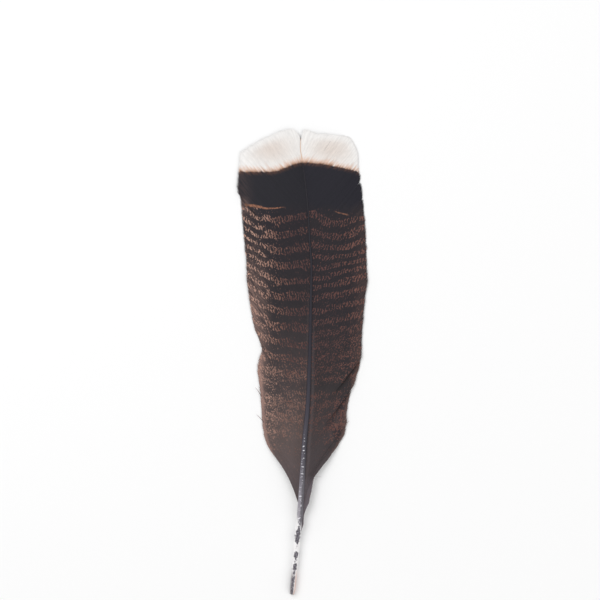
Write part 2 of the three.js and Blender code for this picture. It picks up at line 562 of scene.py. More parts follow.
@dataclass(frozen=True)
class VaneFinish:
    """Markings of one vane. Places and sizes are millimetres of the vane seen from above."""

    name: str
    side: Side
    bar_spacing: float
    first_bar_y: float  # centre line of the highest bar, before the bars' bends
    ground: tuple[tuple[float, Colour], ...]  # colours between the markings, each at its y
    inner_tan: Colour
    mid_tan: Colour
    outer_tan: Colour
    edge_brown: Colour
    edge_wear: tuple[float, float]  # share of edge_brown at the edge, high and low on the vane
    bar_half: float
    bar_cover: float
    bars_fade: tuple[float, float]  # below its first y all is speckle, above its second all bars
    speckle_cover: float
    strip: float  # share of edge_brown along the lower barbs' tips
    strip_end: tuple[float, float]
    low_shade: float = 0.0  # how dark the patches low on the vane are
    stroke_spacing: float = 1.8
    stroke_blur: float = 0.055
    white_y: float = 135.6
    burnt: Colour = srgb(126, 86, 66)
    rust: Colour = srgb(212, 173, 148)
    white: Colour = srgb(237, 235, 233)
    blush: Colour = srgb(221, 211, 204)
    first_streak: Colour = srgb(150, 104, 82)
    underside: Colour = srgb(116, 104, 99)
    # Painted light and paler colour of the barb roots beside the shaft.
    pale_root_and_painted_light: Colour = srgb(112, 102, 104)
    stroke_tilt: float = math.radians(14)
    edge_bar_spacing: float = 6.97  # the left vane's bars are closer together at its edge
    first_edge_bar_y: float = 97.5

    def _bar_shift(self, y: Value, q: Value) -> Value:
        """How far the bars lie towards the tip, q away from the shaft.

        Args:
            y: Place along the feather.
            q: Distance from the shaft's centre line.

        Returns:
            The shift in millimetres.
        """
        if self.side is Side.LEFT:
            # Towards the edge the bars rise, but the highest ones droop there.
            beside_shaft = q.rise(21, 3) * (3.2 * y.rise(60, 84) - 2.5 * y.rise(35, 12))
            to_edge = 9.0 * ((q - 23).at_least(0) / 17) ** 1.3
            return to_edge + beside_shaft - 5.0 * y.rise(70, 98) * q.rise(25, 36)
        # High on the vane the bars hook upwards at the edge, and lower down they rise evenly.
        swirled = y.rise(56, 80)
        hook = q.rise(21, 42) * 7.2 - q.rise(5, 20) * 6.5
        drooped = 3.2 * y.rise(93, 98) * q.rise(26, 40)
        sunk = 4.0 * y.rise(103, 88) * y.rise(48, 60) * q.rise(22, 8)
        return hook * swirled + 0.19 * q * (1 - swirled) - drooped - sunk

    def _white_line(self, q: Value) -> Value:
        """Where the white tip meets the black band.

        Args:
            q: Distance from the shaft's centre line.

        Returns:
            The border's y.
        """
        if self.side is Side.LEFT:
            return self.white_y - 6.45 * q.rise(-1, 23)
        return self.white_y - 7.0 * (q / 37) ** 1.8

    def material(self) -> bpy.types.Material:
        """Builds the vane's material from its markings.

        Returns:
            The material.
        """
        sheet = NodeSheet(self.name)
        marks = Marks(sheet, *sheet.parts("place"), *sheet.parts("strand"), *sheet.parts("reach"))
        ink = self._ink(marks)
        colour = sheet.mix(ink, self._ground(marks), self._tan(marks))
        colour = sheet.mix(self._first_streak(marks), colour, self.first_streak)
        colour = self._white_tip(marks, colour)
        grain = marks.fibres(2.6, 0.3, 2, 3.0)
        # The barbs' own tone, darkened by the painted shadow below splits.
        shade = (0.86 + 0.28 * grain) * (0.96 + 0.08 * marks.chance) * (1 - 0.5 * marks.painted_split_shadow)
        if self.side is Side.LEFT:
            shade = shade * (1 - 0.12 * marks.q.rise(9, 3.5) * marks.y.rise(-2, -22))
        colour = sheet.scaled(colour, shade)
        colour = sheet.mix(marks.face.rise(-0.1, -0.7) * 0.3, colour, self.underside)
        return sheet.dress(
            {
                "Base Color": colour,
                "Roughness": 0.6 + 0.15 * ink + 0.1 * grain,
                "Normal": sheet.relief(marks.fibres(9, 5, 1, 8.0), 0.03),
                "Specular IOR Level": 0.2,
                "Sheen Weight": 0.03,
                "Sheen Roughness": 0.4,
            }
        )

    def _depth_in_bar(self, marks: Marks) -> Value:
        """How deep a place lies in a bar: 1 on its centre line, 0 on its border, less outside.

        Args:
            marks: Where on the vane it is.

        Returns:
            The depth, for the left vane also in the closer, thinner bars at its edge.
        """
        spacing = self.bar_spacing
        sway = marks.blobs(9, 9, 1.0) - 0.5
        bend = self._bar_shift(marks.y, marks.q)
        level = marks.y + 5.5 * sway + 0.6 * (marks.chance - 0.5) - bend
        half = self.bar_half * (0.35 + 1.3 * marks.blobs(6, 4, 19.0))
        from_first = level - self.first_bar_y
        above_all = from_first.rise(0.45 * spacing, 0.6 * spacing)
        depth = 1 - spacing * (from_first / spacing).to_whole() / half - 3 * above_all
        if self.side is Side.RIGHT:
            return depth
        from_edge_bar = (level - self.first_edge_bar_y) / self.edge_bar_spacing
        thin = 1 - self.edge_bar_spacing * from_edge_bar.to_whole() / (0.62 * half)
        at_edge = marks.q.rise(26, 34)
        return depth * (1 - at_edge) + thin * at_edge

    def _ink(self, marks: Marks) -> Value:
        """Where the vane is tan: bars of upright strokes between ragged borders, then speckle.

        A stroke or speck shows where its noise is above a limit, which is lower inside a bar.

        Args:
            marks: Where on the vane it is.

        Returns:
            The share of tan, from 0 to 1.
        """
        x, y, q, sheet = marks.x, marks.y, marks.q, marks.sheet
        tilt = self.side.value * math.sin(self.stroke_tilt)
        upright = math.cos(self.stroke_tilt)
        across = x * upright - y * tilt
        down = x * tilt + y * upright
        wander = sheet.noise(across / 3, down / 3.2, 2, 5.0)
        stroke = (across / self.stroke_spacing + 2.8 * wander).wave()
        fine = sheet.noise(across / 0.72, down / 1.3, 2, 6.0)
        specks = sheet.noise(across / 0.6, down / 1.1, 2, 20.0)
        patch = marks.blobs(3.5, 3, 7.0)
        barred = (y + 0.15 * (q - 18)).rise(*self.bars_fade)
        upper = 0.2 * stroke + 0.54 * fine + 0.26 * patch
        lower = 0.08 * stroke + 0.62 * specks + 0.3 * patch
        squiggle = upper * barred + lower * (1 - barred)
        depth = self._depth_in_bar(marks)
        bars = depth.rise(-0.1, 0.25) * self.bar_cover + 0.045 * depth.bump_at(0.2, 0.3)
        gap = 0.08 * y.bump_at(-16.5, 5) + 0.1 * y.rise(-8, -30) * marks.to_tip.rise(7, 1)
        rubbed = 0.08 * self.low_shade * q.rise(10, 22) * y.bump_at(-42, 24)
        speckle = (self.speckle_cover + rubbed - gap) * (y + 0.4 * (q - 18)).rise(-72, -40)
        cover = bars * barred + (speckle + 0.3 * bars) * (1 - barred)
        limit = 0.67 - cover + 0.3 * y.rise(104, 106)
        inside = squiggle.rise(limit - self.stroke_blur, limit + self.stroke_blur)
        return inside * (0.86 + 0.14 * y.rise(-30, 14))

    def _first_streak(self, marks: Marks) -> Value:
        """The single thin streak in the black band above the first bar.

        Args:
            marks: Where on the vane it is.

        Returns:
            The share of streak, from 0 to 1.
        """
        q, sheet = marks.q, marks.sheet
        if self.side is Side.LEFT:
            line = 104.4 + 1.9 * q.rise(27, 37) + 0.7 * q.rise(24, 17)
            ends = q.rise(14, 21) * q.rise(43.5, 41)
            reach = 0.5 + 0.55 * q.rise(22, 36)
        else:
            line = 101.8 - 0.3 * (q - 20)
            ends = 0.6 * q.rise(17, 20) * q.rise(28, 25)
            reach = 0.6
        wobble = 1.4 * (sheet.noise(q * 0.5, marks.along * 0.1, 3, 9.0) - 0.5)
        ragged = sheet.noise(q * 1.1, marks.root * 0.9, 2, 10.0)
        near = abs(marks.y - line - wobble) / (reach * (0.5 + ragged))
        return near.rise(1.15, 0.4) * ends * ragged.rise(0.28, 0.55)

    def _tan(self, marks: Marks) -> Value:
        """Colour of the squiggles: palest near the vane's edge and low on it.

        Args:
            marks: Where on the vane it is.

        Returns:
            The colour.
        """
        drift = marks.blobs(4, 4, 11.0)
        paler = marks.q.rise(11, 44) + 0.36 * marks.y.rise(14, -20) + 0.7 * (drift - 0.5)
        stops = ((0.0, self.inner_tan), (0.2, self.mid_tan), (1.0, self.outer_tan))
        return marks.sheet.ramp(paler, stops)

    def _ground(self, marks: Marks) -> Value:
        """Colour between the markings: blue-black at the top, brown-grey below.

        Args:
            marks: Where on the vane it is.

        Returns:
            The colour, with the worn edge and the pale roots.
        """
        y, q, sheet = marks.y, marks.q, marks.sheet
        patch = marks.blobs(6, 11, 13.0)
        ground = sheet.ramp(y + 16 * (patch - 0.5), self.ground)
        dark = self.low_shade * q.rise(10, 22) * y.bump_at(-42, 24) * patch.rise(0.35, 0.55)
        ground = sheet.mix(dark, ground, self.ground[-1][1])
        # Lightens the roots beside the shaft: painted light, and on the right also their own paler
        # colour.
        ground = sheet.mix(self._root_line_and_painted_light(marks), ground, self.pale_root_and_painted_light)
        return sheet.mix(self._wear(marks), ground, self.edge_brown)

    def _wear(self, marks: Marks) -> Value:
        """How worn the vane is: most at its edge, and in a strip along the lower barbs' tips.

        Args:
            marks: Where on the vane it is.

        Returns:
            The share of worn brown, at most 0.9.
        """
        y, q = marks.y, marks.q
        upper, lower = self.edge_wear
        below_band = q.rise(24, 42) * (lower + (upper - lower) * y.rise(0, 90))
        edge = below_band * y.rise(112, 98) + 0.07 * q.rise(33, 44) * y.rise(98, 112)
        edge = edge + 0.3 * q.rise(37, 42) * y.bump_at(106, 8)
        faded = marks.fibres(0.9, 0.08, 3, 23.0)
        strip = marks.to_tip.rise(7.5, 1.5) * y.rise(12, -14) * y.rise(*self.strip_end)
        wear = edge * (0.25 + 1.1 * faded.rise(0.34, 0.62))
        return (wear + self.strip * (0.7 + 0.6 * faded) * strip).at_most(0.9)

    def _root_line_and_painted_light(self, marks: Marks) -> Value:
        """Paler barb roots beside the shaft: on the left all painted light against the shade beside the
        raised shaft, on the right a line that moves out from it, partly the roots' own paler colour and
        partly painted light.

        Args:
            marks: Where on the vane it is.

        Returns:
            The share of the pale colour.
        """
        y, q = marks.y, marks.q
        if self.side is Side.LEFT:
            return 0.12 * q.rise(3.0, 1.8) * y.rise(60, 30)
        outwards = y.rise(10, -45) - 0.8 * y.rise(-62, -82)
        return 0.22 * q.bump_at(2.0 + 1.4 * outwards, 1.8) * y.rise(36, 8)

    def _white_tip(self, marks: Marks, below: Value) -> Value:
        """Lays the white tip and its rusty fringe over the colour below.

        Args:
            marks: Where on the vane it is.
            below: Colour without the white tip.

        Returns:
            The colour with the tip.
        """
        sheet = marks.sheet
        ragged = 2.0 * (marks.fibres(1.7, 0.12, 2, 15.0) - 0.5) + 0.5 * (marks.chance - 0.5)
        past = marks.y - self._white_line(marks.q) + ragged
        streaks = marks.fibres(1.2, 0.1, 3, 17.0)
        centre = marks.y.bump_at(144.0, 15) * marks.q.bump_at(20, 24)
        rusty = past.rise(2.9 + 14 * (streaks - 0.35).at_least(0), -0.4) * streaks.rise(0.2, 0.55)
        burnt = past.rise(1.9, -0.2) * streaks.rise(0.3, 0.65) * 0.75
        browned = past.rise(-3.2, 0) * 0.4 * streaks.rise(0.35, 0.6)
        pale = sheet.mix(centre * marks.to_tip.rise(0.5, 7), self.white, self.blush)
        pale = sheet.mix(rusty, pale, self.rust)
        pale = sheet.mix(burnt, pale, self.burnt)
        below = sheet.mix(browned, below, self.burnt)
        return sheet.mix(past.rise(-0.5, 0.5), below, pale)


@dataclass(frozen=True)
class ShaftFinish:
    """Horn of the shaft: dark and glossy, with a pale flecked quill and a buff tip."""

    name: str = "horn"
    horn: tuple[tuple[float, Colour], ...] = (  # colours from above, each at its y
        (-112, srgb(142, 138, 145)),
        (-92, srgb(127, 123, 130)),
        (-83, srgb(122, 118, 126)),
        (-72, srgb(101, 98, 106)),
        (-59, srgb(84, 81, 89)),
        (-45, srgb(76, 73, 82)),
        (-30, srgb(66, 63, 72)),
        (-8, srgb(57, 55, 63)),
        (12, srgb(50, 48, 56)),
        (55, srgb(45, 43, 50)),
        (110, srgb(42, 40, 46)),
    )
    under: Colour = srgb(136, 124, 114)
    pale_horn: Colour = srgb(242, 240, 240)
    dark_pith: Colour = srgb(76, 73, 80)
    mid_pith: Colour = srgb(142, 138, 145)
    grey_pith: Colour = srgb(132, 124, 125)
    pink: Colour = srgb(218, 194, 186)
    # White of the painted glints on the shaft.
    glint_white: Colour = srgb(232, 231, 236)
    buff_tip: Colour = srgb(218, 184, 160)
    # Painted shade for the shaft's flanks.
    flank_shade_colour: Colour = srgb(36, 33, 38)
    pith: tuple[tuple[float, float], ...] = (  # y, and how much dark pith there is
        (-157, 0.55), (-143.7, 0.6), (-142.6, 0.15), (-141.6, 0.65), (-139.4, 0.3), (-138.6, 0.85),
        (-135.6, 0.85), (-134.4, 0.4), (-131.4, 0.45), (-129.6, 0.95), (-127.4, 0.9), (-126.4, 0.15),
        (-121, 0.25), (-119.8, 1.0), (-112, 1.0), (-110.5, 0.4), (-104, 0.55),
    )
    bare_y: float = -103.0
    buff_y: float = 134.5

    def material(self) -> bpy.types.Material:
        """Builds the shaft's material.

        Returns:
            The material.
        """
        sheet = NodeSheet(self.name)
        y, aside, upward = sheet.parts("station")
        streak = sheet.noise(aside * 2.6, y / 14, 3, 2.0)
        horn = sheet.ramp(y, self.horn)
        # Painted shade on the shaft's flanks, where the round rod turns away from the light.
        painted_flank_shade = 0.25 * abs(aside).rise(0.5, 0.85) * y.rise(-70, -45)
        horn = sheet.mix(painted_flank_shade, horn, self.flank_shade_colour)
        # Painted light on the shaft's left half and painted shade on its right half.
        horn = sheet.scaled(horn, self._painted_side_light(y, aside))
        horn = sheet.mix(upward.rise(-0.25, -0.8) * 0.8, horn, self.under)
        # Painted glints on top of the lower rachis.
        horn = sheet.mix(self._painted_glints(sheet, y, aside) * upward.rise(0.0, 0.4), horn, self.glint_white)
        border = y + 8 * (streak - 0.5) + 3 * aside
        horn = sheet.mix(border.rise(self.bare_y, self.bare_y - 8), horn, self._quill(sheet, y, aside))
        horn = sheet.mix(y.rise(self.buff_y, self.buff_y + 3), horn, self.buff_tip)
        return sheet.dress(
            {
                "Base Color": sheet.scaled(horn, 0.8 + 0.4 * streak),
                "Roughness": 0.3 + 0.22 * streak,
                "Normal": sheet.relief(streak, 0.1),
                "Specular IOR Level": 0.16,
                "Coat Weight": 0.03,
                "Coat Roughness": 0.25,
            }
        )

    def _painted_side_light(self, y: Value, aside: Value) -> Value:
        """Painted light and shade across the shaft: its right half is darker, and low down its left one
        paler.

        Args:
            y: Place along the feather.
            aside: Place across the shaft, from -1 to 1.

        Returns:
            The brightness, 1 in the middle.
        """
        low, lowest = y.rise(-35, -60), y.rise(-78, -94)
        left = (0.2 * low + 0.25 * lowest) * aside.rise(0.1, -0.35)
        right = (0.1 + 0.24 * low + 0.1 * lowest) * aside.rise(-0.1, 0.4)
        return 1 + left - right + 0.2 * lowest * aside.rise(0.55, 0.8)

    def _painted_glints(self, sheet: NodeSheet, y: Value, aside: Value) -> Value:
        """Small painted glints on the lower rachis, on the middle of its top a little to the left.

        Args:
            sheet: The material's nodes.
            y: Place along the feather.
            aside: Place across the shaft, from -1 to 1.

        Returns:
            The share of glint.
        """
        spots = sheet.noise(aside * 0.8 + y / 3, y / 1.15, 3, 21.0)
        many = y.rise(-40, -64)
        limit = 0.68 - 0.11 * many - 0.02 * y.rise(-72, -80)
        middle = (aside + 0.2).bump_at(0.0, 0.8).rise(0.1, 0.6)
        return spots.rise(limit, limit + 0.06) * many.rise(0, 0.2) * middle

    def _quill(self, sheet: NodeSheet, y: Value, aside: Value) -> Value:
        """Bare quill: clear pale horn with dark pith that shrank into a row of pieces inside it.

        Args:
            sheet: The material's nodes.
            y: Place along the feather.
            aside: Place across the shaft, from -1 to 1.

        Returns:
            The colour.
        """
        greys = tuple((place, (share, share, share, 1.0)) for place, share in self.pith)
        filled = sheet.ramp(y, greys)
        flecks = sheet.noise(aside * 1.5, y / 1.5, 2, 5.0)
        low = y.rise(-136, -146)
        edge = abs(aside - 0.1 + 0.26 * low)
        dark = (filled * 0.6 + 1.1 * (flecks - 0.5) - 0.5 * edge.rise(0.1, 0.95)).rise(0.06, 0.3)
        pale = sheet.mix(low * aside.rise(0.1, 0.8), self.pale_horn, self.pink)
        pale = sheet.mix(low * aside.rise(0.2, -0.3) * 0.8, pale, self.grey_pith)
        blotches = sheet.noise(aside * 2.5, y / 0.9, 2, 4.0).rise(0.4, 0.65)
        pith = sheet.mix(blotches, self.dark_pith, self.mid_pith)
        return sheet.mix(dark, pale, pith)


@dataclass(frozen=True)
class TableFinish:
    """Plain pale table top."""

    name: str = "table"
    colour: Colour = srgb(250, 250, 250)

    def material(self) -> bpy.types.Material:
        """Builds the table's material."""
        return NodeSheet(self.name).dress({"Base Color": self.colour, "Roughness": 0.9})


# ---- Meshes -----------------------------------------------------------------------------------


@dataclass
class Sweep:
    """Closed bodies swept along paths, each with a ring of corners at every step.

    Attributes:
        name: The piece's name.
        points: Corner k of the ring at step j of path i, in millimetres, as points[i, j, k].
        faces_out: Whether faces made in the corners' order look outwards.
        vectors: Vector attributes of the points, by name.
        flattened: Place of each point on the kept map.
        lower_sides: Numbers of the sides that look down.
    """

    name: str
    points: np.ndarray
    faces_out: bool
    vectors: dict[str, np.ndarray]
    flattened: np.ndarray
    lower_sides: tuple[int, ...]

    def _numbers(self) -> np.ndarray:
        """Vertex number of each point, by path, step and corner."""
        shape = self.points.shape[:3]
        return np.arange(math.prod(shape)).reshape(shape)

    def quads(self) -> np.ndarray:
        """Vertex numbers of the side faces.

        Returns:
            Four numbers for each face, in the order path, step, side.
        """
        here = self._numbers()
        beside = np.roll(here, -1, 2)
        order = [here[:, :-1], beside[:, :-1], beside[:, 1:], here[:, 1:]]
        if not self.faces_out:
            order.reverse()
        return np.stack(order, -1).reshape(-1, 4)

    def caps(self) -> np.ndarray:
        """Vertex numbers of the end faces.

        Returns:
            The first face of each path, then the last face of each.
        """
        number = self._numbers()
        first, last = number[:, 0], number[:, -1]
        if self.faces_out:
            first = first[:, ::-1]
        else:
            last = last[:, ::-1]
        return np.concatenate([first, last])

    def build(self, material: bpy.types.Material) -> bpy.types.Object:
        """Writes the bodies as one mesh object in metres.

        Args:
            material: The finish.

        Returns:
            The object, linked to the scene.
        """
        mesh = bpy.data.meshes.new(self.name)
        flat = self.points.reshape(-1, 3) * MM
        mesh.from_pydata(flat.tolist(), [], self.quads().tolist() + self.caps().tolist())
        for label, values in self.vectors.items():
            attribute = mesh.attributes.new(label, "FLOAT_VECTOR", "POINT")
            attribute.data.foreach_set("vector", values.reshape(-1).astype(np.float32))
        self._write_map(mesh)
        mesh.materials.append(material)
        made = bpy.data.objects.new(self.name, mesh)
        bpy.context.scene.collection.objects.link(made)
        return made

    def _write_map(self, mesh: bpy.types.Mesh) -> None:
        """Writes the map that patterns are kept on: upper faces and lower faces side by side.

        Args:
            mesh: The mesh, with its side faces first and then its end faces.
        """
        corners = np.concatenate([self.quads().reshape(-1), self.caps().reshape(-1)])
        paths, steps, sides, _ = self.points.shape
        side_of_quad = np.tile(np.arange(sides), paths * (steps - 1))
        under = np.isin(side_of_quad, self.lower_sides).repeat(4)
        under = np.concatenate([under, np.zeros(len(corners) - len(under), bool)])
        place = self.flattened.reshape(-1, 2)[corners]
        place[under, 0] += MAP_HALF
        layer = mesh.uv_layers.new(name=BAKE_MAP)
        layer.data.foreach_set("uv", place.reshape(-1).astype(np.float32))


# ---- Vanes ------------------------------------------------------------------------------------


# A barb's ring runs from the near edge of its web over the rib to the far edge, and back under it.
FACING = (0, 1, 1, 0, -1, -1)  # 1 on top, 0 at an edge, -1 below
LOWER_SIDES = (3, 4, 5)


@dataclass(frozen=True)
class Split:
    """A place where the web has come apart between two barbs.

    Attributes:
        root_y: Root y of the place.
        opening: How far it stands open at the edge. Less than nothing lays the barbs above it
            over those below.
        start: Where along the barbs it starts, from 0 at the root to 1 at the tip.
        reach: How far along the shaft other barbs move with it.
        raised: How far the barbs above it are lifted.
        bitten: How much shorter the barbs are.
        shadow: How dark the painted shadow line below it is.
    """

    root_y: float
    opening: float
    start: float = 0.3
    reach: float = 7.0
    raised: float = 0.3
    bitten: float = 0.0
    shadow: float = 0.0


@dataclass
class Damage:
    """What splits do to each step of each barb: a move across, a lift and a painted shadow line."""

    shift: np.ndarray
    raised: np.ndarray
    painted_split_shadow: np.ndarray


@dataclass(frozen=True)
class BarbSection:
    """Cross-section of a barb with its hooked webs. Pairs are for the root and the tip."""

    rib_width: tuple[float, float] = (0.2, 0.07)
    rib_rise: tuple[float, float] = (0.13, 0.05)
    rib_depth: tuple[float, float] = (0.55, 0.1)
    rib_share: float = 0.6  # most of the distance between barbs that a rib takes up
    keel_share: float = 0.3  # half the rib's width below, as a share of its width above
    thin_at: float = 0.7  # how far along the barb its depth is that of the tip
    web_share: float = 0.7  # width of each web, as a share of the distance between barbs
    web_step: float = 0.03  # how high the web's far edge is, and how low its near one
    tip_web: float = 0.2  # share of the web that is left at the tip
    bare_tip: float = 1.6  # length over which the web narrows to it


@dataclass
class Layout:
    """Where a vane's barbs grow, and what its methods share.

    Attributes:
        rows: Root y of each barb.
        t: Steps along a barb, from 0 at the root to 1 at the tip.
        length: Length of each barb.
        rng: Source of the random numbers.
    """

    rows: np.ndarray
    t: np.ndarray
    length: np.ndarray
    rng: np.random.Generator


@dataclass
class Vane:
    """One vane: some hundreds of barbs, each a rib with a web on both sides.

    Each of its waves and clumps is a share, and the number of barbs that move alike.
    """

    name: str
    node: str
    plan: VanePlan
    finish: VaneFinish
    splits: tuple[Split, ...]
    seed: int
    barbs: int = 450
    steps: int = 28
    section: BarbSection = BarbSection()
    root_jitter: float = 0.12  # as a share of the distance between barbs
    sag: float = 0.6  # share of the fall to the edge that is curved
    wave_height: float = 0.9
    waves: tuple[tuple[float, float], ...] = ((0.75, 26.0), (0.25, 7.0))
    unevenness: float = 0.03
    tip_jitter: float = 0.22
    clumps: tuple[tuple[float, float], ...] = ((0.6, 3.0), (0.4, 1.2))
    parting_power: float = 1.3  # a split opens slowly at first
    # Reach of the painted shadow below a split.
    painted_shadow_width: float = 1.8
    overhang: float = 0.7
    own_cut: float = 0.1  # how far barbs' lengths vary one by one
    shared_cut: float = 0.15  # and with their neighbours
    shared_reach: float = 1.5
    cut_limits: tuple[float, float] = (-2.0, 0.4)
    short_barb: float = 8.0  # shorter barbs are cut by less
    map_margin: float = 0.004
    unrolled: tuple[float, ...] = (0.0, 0.36, 0.64, 1.0, 0.64, 0.36)  # the ring on the kept map

    def build(self) -> bpy.types.Object:
        """Makes the vane and hands it to the frame in place of its plate.

        Returns:
            The vane.
        """
        piece = self._sweep().build(self.finish.material())
        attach(piece, BODY)
        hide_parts(self.node)
        return piece

    def _root_rows(self, rng: np.random.Generator) -> np.ndarray:
        """Spaces the barbs evenly but for a little chance.

        Args:
            rng: Source of the random numbers.

        Returns:
            Root y of each barb.
        """
        rows = np.linspace(self.plan.edge[0][2], self.plan.edge[-1][2], self.barbs)
        pitch = rows[1] - rows[0]
        rows[1:-1] += rng.uniform(-self.root_jitter, self.root_jitter, self.barbs - 2) * pitch
        return rows

    def _planform(self, rows: np.ndarray, t: np.ndarray) -> tuple[np.ndarray, np.ndarray]:
        """Whole barbs seen from above, before any damage.

        Args:
            rows: Root y of each barb.
            t: Steps along a barb, from 0 to 1.

        Returns:
            Points by barb and step, and each barb's direction across the vane.
        """
        plan = self.plan
        root, tip = plan.roots(rows), plan.tips(rows)
        chord = tip - root
        length = np.linalg.norm(chord, axis=1)
        across = np.stack([-chord[:, 1], chord[:, 0]], -1) / length[:, None] * plan.side.value
        fade = 1 - smooth(rows, *plan.bow_fade)
        inward = plan.base_bow * fade * (length / plan.bowed_length) ** 2
        outward = plan.outward_bow * (1 - fade) * np.minimum(length / plan.bowed_length, 1) ** 2
        outward = outward * (1 - smooth(rows, *plan.outward_fade))
        bow = (inward - outward)[:, None] * np.sin(np.pi * t)
        straight = root[:, None] + chord[:, None] * t[None, :, None]
        return straight + across[:, None] * bow[..., None], across

    def _damage(self, layout: Layout, pitch: np.ndarray) -> Damage:
        """How splits and rough handling move the barbs.

        Args:
            layout: The vane's barbs.
            pitch: Distance to the next barb, by barb and step.

        Returns:
            The damage, by barb and step.
        """
        rows, t = layout.rows, layout.t
        clumps = sum(share * soft_noise(len(rows), reach, layout.rng) for share, reach in self.clumps)
        damage = Damage(
            shift=self.tip_jitter * clumps[:, None] * pitch * t**4,
            raised=np.zeros_like(pitch),
            painted_split_shadow=np.zeros_like(pitch),
        )
        for split in self.splits:
            far = rows - split.root_y
            fall = np.exp(-np.abs(far) / split.reach)
            grow = np.clip((t - split.start) / (1 - split.start), 0, 1) ** self.parting_power
            damage.shift += (np.where(far > 0, 0.5, -0.5) * fall * split.opening)[:, None] * grow
            damage.raised += (np.where(far > 0, fall, 0) * split.raised)[:, None] * grow
            # A painted shadow darkens the barbs below each split, past any overlap.
            past = np.maximum(-far - max(0, -split.opening), 0)
            below = np.where(far < 0, np.exp(-past / self.painted_shadow_width), 0)
            damage.painted_split_shadow += split.shadow * below[:, None] * smooth(grow, 0, 0.5)
        return damage

    def _height(self, layout: Layout) -> np.ndarray:
        """Height of the web above the table: a waved arch from the shaft down to the edge.

        Args:
            layout: The vane's barbs.

        Returns:
            The height, by barb and step.
        """
        plan, t, rng = self.plan, layout.t, layout.rng
        root = plan.root_height(layout.rows)
        fall = np.minimum(layout.length / plan.full_fall_length, 1) ** 2
        edge = blend(root, plan.edge_height, fall)
        arch = (1 - self.sag) * t + self.sag * t**2
        web = blend(root[:, None], edge[:, None], arch)
        wave = np.zeros_like(root)
        for share, reach in self.waves:
            wave += share * (0.5 + 0.5 * np.tanh(soft_noise(len(root), reach, rng)))
        waved = (self.wave_height * wave)[:, None] * smooth(t, 0.1, 1.0)
        uneven = self.unevenness * rng.normal(size=(len(root), 1))
        return web + waved + uneven

    def _sweep(self) -> Sweep:
        """Sweeps the section along every barb.

        Returns:
            The barbs.
        """
        rng = np.random.default_rng(self.seed)
        t = np.linspace(0, 1, self.steps + 1)
        rows = self._root_rows(rng)
        flat, across = self._planform(rows, t)
        length = np.linalg.norm(flat[:, -1] - flat[:, 0], axis=1)
        layout = Layout(rows, t, length, rng)
        whole = np.concatenate([flat, self._height(layout)[..., None]], -1)
        spacing = np.linalg.norm(np.gradient(whole, axis=0), axis=-1)
        damage = self._damage(layout, spacing)
        path = whole.copy()
        path[..., :2] += across[:, None] * damage.shift[..., None]
        path[..., 2] += damage.raised
        path = self._cut_lengths(layout, path)
        tangent = np.gradient(path, axis=1)
        tangent /= np.linalg.norm(tangent, axis=-1, keepdims=True)
        beside = np.gradient(whole, axis=0)
        beside -= (beside * tangent).sum(-1, keepdims=True) * tangent
        pitch = np.linalg.norm(beside, axis=-1, keepdims=True)
        beside /= np.maximum(pitch, 1e-6)
        normal = np.cross(tangent, beside) * self.plan.side.value
        offsets, rises = self._section_offsets(layout, pitch[..., 0])
        sideways = beside[:, :, None] * offsets[..., None]
        upwards = normal[:, :, None] * rises[..., None]
        return Sweep(
            name=self.name,
            points=path[:, :, None] + sideways + upwards,
            faces_out=self.plan.side is Side.LEFT,
            vectors=self._vectors(layout, whole[:, :, None] + sideways, damage.painted_split_shadow),
            flattened=self._flattened(layout),
            lower_sides=LOWER_SIDES,
        )

    def _cut_lengths(self, layout: Layout, path: np.ndarray) -> np.ndarray:
        """Makes some barbs a little shorter or longer, so that the edge is soft.

        Args:
            layout: The vane's barbs.
            path: Points by barb and step.

        Returns:
            The points moved along each barb.
        """
        length = layout.length
        longer = self.own_cut * layout.rng.normal(size=len(length))
        longer += self.shared_cut * soft_noise(len(length), self.shared_reach, layout.rng)
        for split in self.splits:
            longer -= split.bitten * np.exp(-(((layout.rows - split.root_y) / split.reach) ** 2))
        longer = self.overhang + np.clip(longer, *self.cut_limits)
        change = longer / np.maximum(length, self.short_barb)
        root = path[:, :1]
        return root + (path - root) * (1 + change[:, None, None] * layout.t[None, :, None] ** 3)

    def _section_offsets(self, layout: Layout, pitch: np.ndarray) -> tuple[np.ndarray, np.ndarray]:
        """The ring's places across and above each barb's centre.

        Args:
            layout: The vane's barbs.
            pitch: Distance to the next barb, by barb and step.

        Returns:
            Offsets across and rises, by barb, step and corner.
        """
        cut, t = self.section, layout.t
        even = np.zeros_like(pitch)
        width = np.minimum(blend(*cut.rib_width, t) + even, cut.rib_share * pitch)
        keel = width * cut.keel_share
        rise = blend(*cut.rib_rise, t) + even
        depth = blend(*cut.rib_depth, smooth(t, 0, cut.thin_at)) + even
        to_tip = layout.length[:, None] * (1 - t)[None]
        zipped = blend(cut.tip_web, 1.0, smooth(to_tip, 0, cut.bare_tip))
        web = cut.web_share * pitch * zipped
        step = cut.web_step + even
        offsets = [-web, -width / 2, width / 2, web, keel, -keel]
        rises = [-step, rise, rise, step, -depth, -depth]
        return np.stack(offsets, -1), np.stack(rises, -1)

    def _vectors(self, layout: Layout, place: np.ndarray, painted_split_shadow: np.ndarray) -> dict[str, np.ndarray]:
        """The attributes that the markings are drawn from.

        Args:
            layout: The vane's barbs.
            place: Points before damage, by barb, step and corner.
            painted_split_shadow: Depth of the painted shadow beside a split, by barb and step.

        Returns:
            Vectors by attribute name.
        """
        x, y, shape = place[..., 0], place[..., 1], place.shape[:3]
        rows, length = layout.rows[:, None, None], layout.length[:, None]
        along = (length * layout.t)[..., None]
        to_tip = (length * (1 - layout.t))[..., None]
        chance = layout.rng.uniform(size=rows.shape)
        return {
            "place": stacked(shape, x, y, np.abs(x - self.plan.shaft.centre_x(y))),
            "strand": stacked(shape, rows, along, chance),
            "reach": stacked(shape, to_tip, painted_split_shadow[..., None], FACING),
        }

